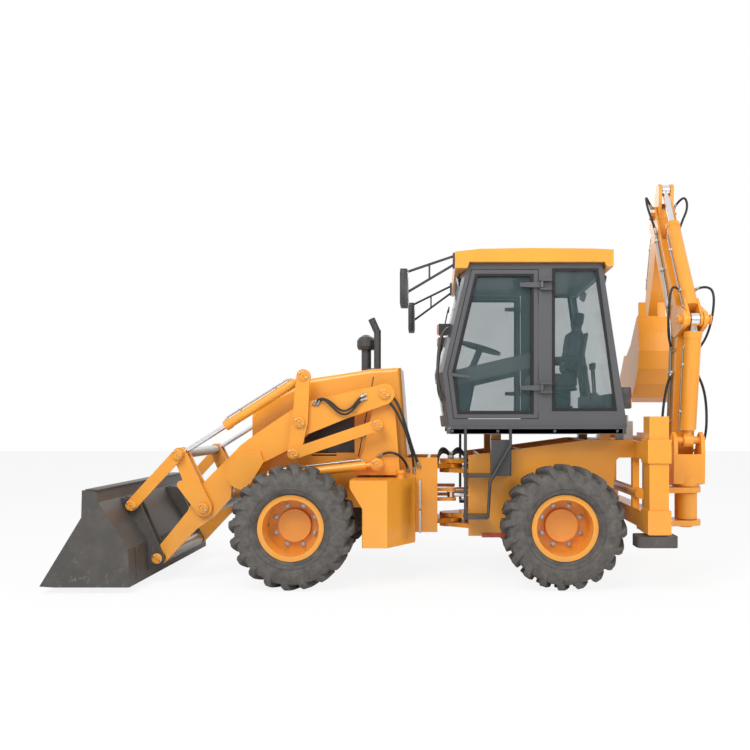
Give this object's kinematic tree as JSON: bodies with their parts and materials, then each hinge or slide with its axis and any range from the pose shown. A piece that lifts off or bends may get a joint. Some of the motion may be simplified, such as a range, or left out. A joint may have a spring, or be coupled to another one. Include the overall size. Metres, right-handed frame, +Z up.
{
  "type": "backhoe loader",
  "caption": "Articulated backhoe loader with a front loader bucket on self-levelling arms, a glazed cab, side-shift digging arm and vertical stabilisers.",
  "frame": {"origin": "on the ground, midway between the loader bucket's front edge and the rear side of the digging bucket, on the machine's centre plane", "axes": "+X forward towards the loader bucket, +Y to the machine's left, +Z up"},
  "size_m": [5.874, 2.25, 3.8269],
  "materials": {
    "yellow_paint": "gloss",
    "cab_paint": "satin",
    "tinted_glass": "polished",
    "seat_fabric": "matte",
    "black_plastic": "matte",
    "black_paint": "satin",
    "bare_steel": "machined",
    "dark_paint": "satin",
    "chrome": "polished",
    "tyre_rubber": "matte"
  },
  "bodies": {
    "rear_frame": {"rear_frame": "yellow_paint", "rear_axle": "yellow_paint", "cab_frame": "cab_paint", "cab_roof": "yellow_paint", "cab_glass": "tinted_glass", "operator_seat": "seat_fabric", "cab_controls": "black_plastic", "steps_and_box": "black_paint", "slide_frame": "yellow_paint", "valve_block": "bare_steel", "mirrors": "black_plastic", "steering_barrels": "yellow_paint"},
    "left_door": {"left_door": "cab_paint", "left_door_glass": "tinted_glass"},
    "right_door": {"right_door": "cab_paint", "right_door_glass": "tinted_glass"},
    "front_frame": {"front_frame": "yellow_paint", "front_axle": "yellow_paint", "engine": "black_paint", "hood": "yellow_paint", "stacks": "black_paint", "side_tanks": "yellow_paint"},
    "front_left_wheel": {"front_left_tyre": "tyre_rubber", "front_left_rim": "yellow_paint"},
    "front_right_wheel": {"front_right_tyre": "tyre_rubber", "front_right_rim": "yellow_paint"},
    "rear_left_wheel": {"rear_left_tyre": "tyre_rubber", "rear_left_rim": "yellow_paint"},
    "rear_right_wheel": {"rear_right_tyre": "tyre_rubber", "rear_right_rim": "yellow_paint"},
    "loader_arms": {"loader_arms": "yellow_paint"},
    "levelling_levers": {"levelling_levers": "yellow_paint"},
    "levelling_bars": {"levelling_bars": "yellow_paint"},
    "bellcrank_pins": {"bellcrank_pins": "bare_steel"},
    "bellcranks": {"bellcranks": "yellow_paint"},
    "link_pins": {"link_pins": "bare_steel"},
    "bucket_links": {"bucket_links": "yellow_paint"},
    "bucket_pins": {"bucket_pins": "bare_steel"},
    "loader_bucket": {"loader_bucket": "dark_paint"},
    "tilt_barrels": {"tilt_barrels": "yellow_paint"},
    "tilt_rods": {"tilt_rods": "chrome"},
    "lift_barrels": {"lift_barrels": "yellow_paint"},
    "lift_rods": {"lift_rods": "chrome"},
    "left_steering_rod": {"left_steering_rod": "chrome"},
    "right_steering_rod": {"right_steering_rod": "chrome"},
    "left_stabiliser": {"left_stabiliser": "dark_paint"},
    "right_stabiliser": {"right_stabiliser": "dark_paint"},
    "carriage": {"carriage": "yellow_paint"},
    "kingpost": {"kingpost": "yellow_paint"},
    "boom": {"boom": "yellow_paint"},
    "boom_barrel": {"boom_barrel": "yellow_paint"},
    "boom_rod": {"boom_rod": "chrome"},
    "dipper": {"dipper": "yellow_paint"},
    "dipper_barrel": {"dipper_barrel": "yellow_paint"},
    "dipper_rod": {"dipper_rod": "chrome"},
    "bucket_barrel": {"bucket_barrel": "yellow_paint"},
    "bucket_rod": {"bucket_rod": "chrome"},
    "bucket_lever": {"bucket_lever": "yellow_paint"},
    "bucket_link": {"bucket_link": "yellow_paint"},
    "backhoe_bucket": {"backhoe_bucket": "yellow_paint"}
  },
  "joints": [
    {"name": "steer", "type": "hinge", "parent": "rear_frame", "child": "front_frame", "pos_m": [-0.532, 0, 0.76], "axis": [0, 0, 1], "range_deg": [-32, 32]},
    {"name": "front_left_roll", "type": "hinge", "parent": "front_frame", "child": "front_left_wheel", "pos_m": [0.848, 0.875, 0.5375], "axis": [0, 1, 0], "continuous": true},
    {"name": "front_right_roll", "type": "hinge", "parent": "front_frame", "child": "front_right_wheel", "pos_m": [0.848, -0.875, 0.5375], "axis": [0, 1, 0], "continuous": true},
    {"name": "rear_left_roll", "type": "hinge", "parent": "rear_frame", "child": "rear_left_wheel", "pos_m": [-1.488, 0.875, 0.5375], "axis": [0, 1, 0], "continuous": true},
    {"name": "rear_right_roll", "type": "hinge", "parent": "rear_frame", "child": "rear_right_wheel", "pos_m": [-1.488, -0.875, 0.5375], "axis": [0, 1, 0], "continuous": true},
    {"name": "left_door_swing", "type": "hinge", "parent": "rear_frame", "child": "left_door", "pos_m": [-1.317, 0.81, 2.1], "axis": [0, 0, 1], "range_deg": [0, 95]},
    {"name": "right_door_swing", "type": "hinge", "parent": "rear_frame", "child": "right_door", "pos_m": [-1.317, -0.81, 2.1], "axis": [0, 0, -1], "range_deg": [0, 95]},
    {"name": "loader_lift", "type": "hinge", "parent": "front_frame", "child": "loader_arms", "pos_m": [0.074, 0, 1.697], "axis": [0, -1, 0], "range_deg": [-1, 72]},
    {"name": "lever_level", "type": "hinge", "parent": "loader_arms", "child": "levelling_levers", "pos_m": [0.831, 0, 1.439], "axis": [0, -1, 0], "range_deg": [-72.5, 1.5]},
    {"name": "bar_level", "type": "hinge", "parent": "front_frame", "child": "levelling_bars", "pos_m": [0.126, 0, 1.416], "axis": [0, -1, 0], "range_deg": [-1.5, 72.5]},
    {"name": "bucket_pin_level", "type": "hinge", "parent": "loader_arms", "child": "bucket_pins", "pos_m": [2.105, 0, 0.222], "axis": [0, -1, 0], "range_deg": [-55, 1]},
    {"name": "bellcrank_pin_level", "type": "hinge", "parent": "loader_arms", "child": "bellcrank_pins", "pos_m": [1.693, 0, 0.674], "axis": [0, -1, 0], "range_deg": [-55, 1]},
    {"name": "bucket_tilt", "type": "hinge", "parent": "bucket_pins", "child": "loader_bucket", "pos_m": [2.105, 0, 0.222], "axis": [0, -1, 0], "range_deg": [-40, 38]},
    {"name": "bellcrank_turn", "type": "hinge", "parent": "bellcrank_pins", "child": "bellcranks", "pos_m": [1.693, 0, 0.674], "axis": [0, -1, 0], "range_deg": [-40.5, 38.5]},
    {"name": "link_pin_turn", "type": "hinge", "parent": "bellcranks", "child": "link_pins", "pos_m": [1.912, 0, 1.153], "axis": [0, -1, 0], "range_deg": [-38.5, 40.5]},
    {"name": "bucket_link_turn", "type": "hinge", "parent": "link_pins", "child": "bucket_links", "pos_m": [1.912, 0, 1.153], "axis": [0, -1, 0], "range_deg": [-1, 55]},
    {"name": "tilt_barrel_swing", "type": "hinge", "parent": "levelling_levers", "child": "tilt_barrels", "pos_m": [0.8015, 0, 1.856], "axis": [0, -1, 0], "range_deg": [-1.2, 66]},
    {"name": "tilt_rod_stroke", "type": "slide", "parent": "tilt_barrels", "child": "tilt_rods", "axis": [0.8449, 0, -0.5349], "range_m": [-0.32, 0.338]},
    {"name": "lift_barrel_swing", "type": "hinge", "parent": "front_frame", "child": "lift_barrels", "pos_m": [0.144, 0, 1.061], "axis": [0, -1, 0], "range_deg": [-1.2, 65]},
    {"name": "lift_rod_stroke", "type": "slide", "parent": "lift_barrels", "child": "lift_rods", "axis": [0.9935, 0, -0.1142], "range_m": [-0.011, 0.73]},
    {"name": "left_steering_stroke", "type": "slide", "parent": "rear_frame", "child": "left_steering_rod", "axis": [1, 0, 0], "range_m": [-0.141, 0.141]},
    {"name": "right_steering_stroke", "type": "slide", "parent": "rear_frame", "child": "right_steering_rod", "axis": [1, 0, 0], "range_m": [-0.141, 0.141]},
    {"name": "left_stabiliser_drop", "type": "slide", "parent": "rear_frame", "child": "left_stabiliser", "axis": [0, 0, -1], "range_m": [0, 0.45]},
    {"name": "right_stabiliser_drop", "type": "slide", "parent": "rear_frame", "child": "right_stabiliser", "axis": [0, 0, -1], "range_m": [0, 0.45]},
    {"name": "side_shift", "type": "slide", "parent": "rear_frame", "child": "carriage", "axis": [0, -1, 0], "range_m": [0, 0.92]},
    {"name": "swing", "type": "hinge", "parent": "carriage", "child": "kingpost", "pos_m": [-2.687, 0.46, 0.675], "axis": [0, 0, -1], "range_deg": [0, 180]},
    {"name": "boom_lower", "type": "hinge", "parent": "kingpost", "child": "boom", "pos_m": [-2.687, 0.25, 1], "axis": [1, 0, 0], "range_deg": [0, 85]},
    {"name": "boom_barrel_swing", "type": "hinge", "parent": "kingpost", "child": "boom_barrel", "pos_m": [-2.687, 0.5, 1.275], "axis": [1, 0, 0], "range_deg": [0, 93]},
    {"name": "boom_rod_stroke", "type": "slide", "parent": "boom_barrel", "child": "boom_rod", "axis": [0, 0.1777, 0.9841], "range_m": [0, 0.455]},
    {"name": "dipper_reach", "type": "hinge", "parent": "boom", "child": "dipper", "pos_m": [-2.687, -0.3, 3.525], "axis": [-1, 0, 0], "range_deg": [0, 110]},
    {"name": "dipper_barrel_swing", "type": "hinge", "parent": "boom", "child": "dipper_barrel", "pos_m": [-2.687, 0.695, 2.355], "axis": [-1, 0, 0], "range_deg": [-1.6, 0]},
    {"name": "dipper_rod_stroke", "type": "slide", "parent": "dipper_barrel", "child": "dipper_rod", "axis": [0, -0.5464, 0.8375], "range_m": [-0.397, 0]},
    {"name": "scoop_open", "type": "hinge", "parent": "dipper", "child": "backhoe_bucket", "pos_m": [-2.687, -0.875, 2.1], "axis": [-1, 0, 0], "range_deg": [0, 124]},
    {"name": "scoop_lever_turn", "type": "hinge", "parent": "dipper", "child": "bucket_lever", "pos_m": [-2.687, -0.77023, 2.35966], "axis": [-1, 0, 0], "range_deg": [0, 124.5]},
    {"name": "scoop_link_turn", "type": "hinge", "parent": "backhoe_bucket", "child": "bucket_link", "pos_m": [-2.687, -1.0741, 1.93279], "axis": [-1, 0, 0], "range_deg": [-124.5, 0]},
    {"name": "scoop_barrel_swing", "type": "hinge", "parent": "dipper", "child": "bucket_barrel", "pos_m": [-2.687, -0.49023, 3.45442], "axis": [-1, 0, 0], "range_deg": [0, 5]},
    {"name": "scoop_rod_stroke", "type": "slide", "parent": "bucket_barrel", "child": "bucket_rod", "axis": [0, -0.3549, -0.9349], "range_m": [-0.442, 0]}
  ],
  "couplings": [
    {"joint": "lever_level", "follows": "loader_lift", "ratio": -1},
    {"joint": "bar_level", "follows": "loader_lift", "ratio": 1},
    {"joint": "bucket_pin_level", "follows": "loader_lift", "ratio": -0.75},
    {"joint": "bellcrank_pin_level", "follows": "loader_lift", "ratio": -0.75},
    {"joint": "bellcrank_turn", "follows": "bucket_tilt", "ratio": 1},
    {"joint": "link_pin_turn", "follows": "bucket_tilt", "ratio": -1},
    {"joint": "bucket_link_turn", "follows": "loader_lift", "ratio": 0.75},
    {"joint": "tilt_barrel_swing", "follows": "loader_lift", "ratio": 0.904},
    {"joint": "tilt_rod_stroke", "follows": "bucket_tilt", "m_per_rad": -0.48},
    {"joint": "lift_barrel_swing", "follows": "loader_lift", "ratio": 0.892},
    {"joint": "lift_rod_stroke", "follows": "loader_lift", "m_per_rad": 0.577},
    {"joint": "left_steering_stroke", "follows": "steer", "m_per_rad": -0.25},
    {"joint": "right_steering_stroke", "follows": "steer", "m_per_rad": 0.25},
    {"joint": "boom_barrel_swing", "follows": "boom_lower", "ratio": 1.0865},
    {"joint": "boom_rod_stroke", "follows": "boom_lower", "m_per_rad": 0.3055},
    {"joint": "dipper_barrel_swing", "follows": "dipper_reach", "ratio": -0.0134},
    {"joint": "dipper_rod_stroke", "follows": "dipper_reach", "m_per_rad": -0.2061},
    {"joint": "scoop_lever_turn", "follows": "scoop_open", "ratio": 1},
    {"joint": "scoop_link_turn", "follows": "scoop_open", "ratio": -1},
    {"joint": "scoop_barrel_swing", "follows": "scoop_open", "ratio": 0.0395},
    {"joint": "scoop_rod_stroke", "follows": "scoop_open", "m_per_rad": -0.2038}
  ]
}
